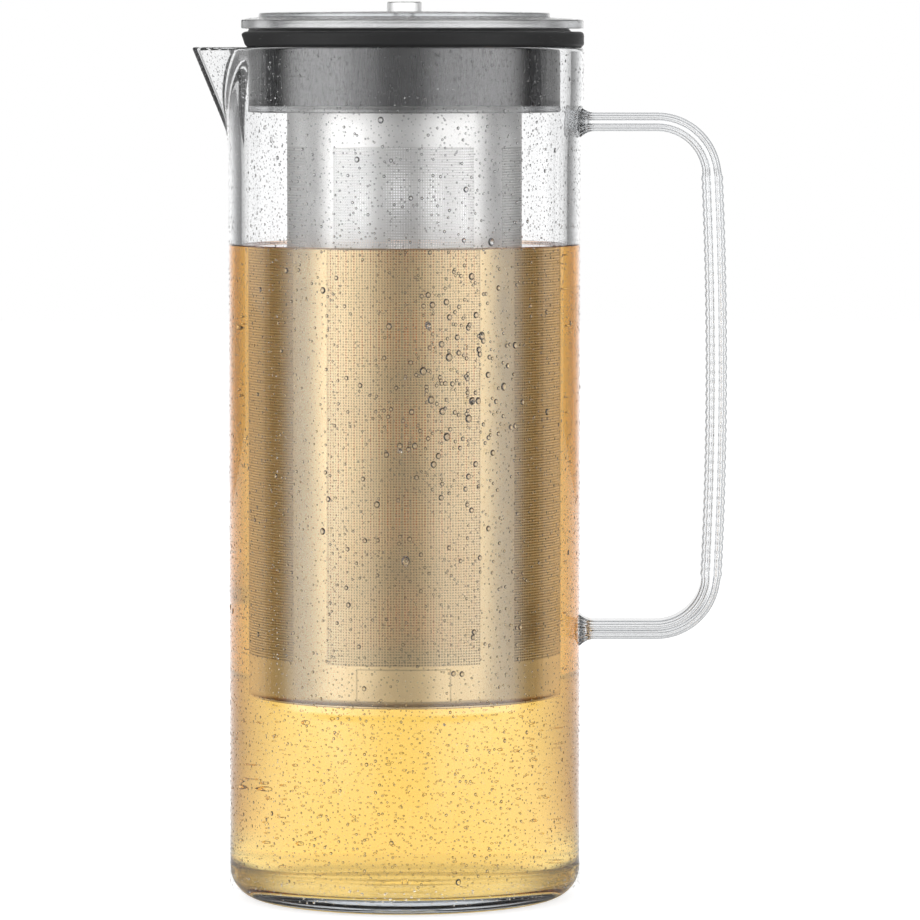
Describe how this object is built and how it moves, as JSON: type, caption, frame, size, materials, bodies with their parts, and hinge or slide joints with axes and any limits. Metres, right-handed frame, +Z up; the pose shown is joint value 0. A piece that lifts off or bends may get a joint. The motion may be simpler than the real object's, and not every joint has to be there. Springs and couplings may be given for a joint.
{
  "type": "iced tea maker",
  "caption": "Tall clear jug with a beak spout and a ribbed loop handle, and a lid with a steel band and rubber seal from which a perforated steel filter hangs.",
  "frame": {"origin": "middle of the flat base that the jug stands on", "axes": "+Z up the jug's axis, +X towards the handle, -X towards the spout"},
  "size_m": [0.1606, 0.1076, 0.2691],
  "materials": {
    "clear_jug": "clear, moulded, polished",
    "clear_lid": "clear, moulded, polished",
    "filter_steel": "satin stainless sheet",
    "mesh_steel": "satin stainless sheet with a fine square grid of holes",
    "band_steel": "polished stainless sleeve",
    "seal_rubber": "matt black silicone"
  },
  "bodies": {
    "jug": {"jug_body": "clear_jug", "handle": "clear_jug"},
    "filter": {"filter_tube": "filter_steel", "mesh_front": "mesh_steel", "mesh_right": "mesh_steel", "mesh_back": "mesh_steel", "mesh_left": "mesh_steel", "filter_base": "filter_steel", "filter_rim": "filter_steel"},
    "lid": {"lid_skirt": "clear_lid", "steel_band": "band_steel", "seal": "seal_rubber", "lid_plate": "clear_lid"},
    "filling_cap": {"cap": "clear_lid", "knob": "clear_lid"}
  },
  "joints": [
    {"name": "filter_lift", "type": "slide", "parent": "jug", "child": "filter", "axis": [0, 0, 1], "range_m": [0, 0.2]},
    {"name": "lid_turn", "type": "hinge", "parent": "filter", "child": "lid", "pos_m": [0, 0, 0.2383], "axis": [0, 0, 1], "continuous": true},
    {"name": "cap_lift", "type": "slide", "parent": "lid", "child": "filling_cap", "axis": [0, 0, 1], "range_m": [0, 0.03]}
  ]
}
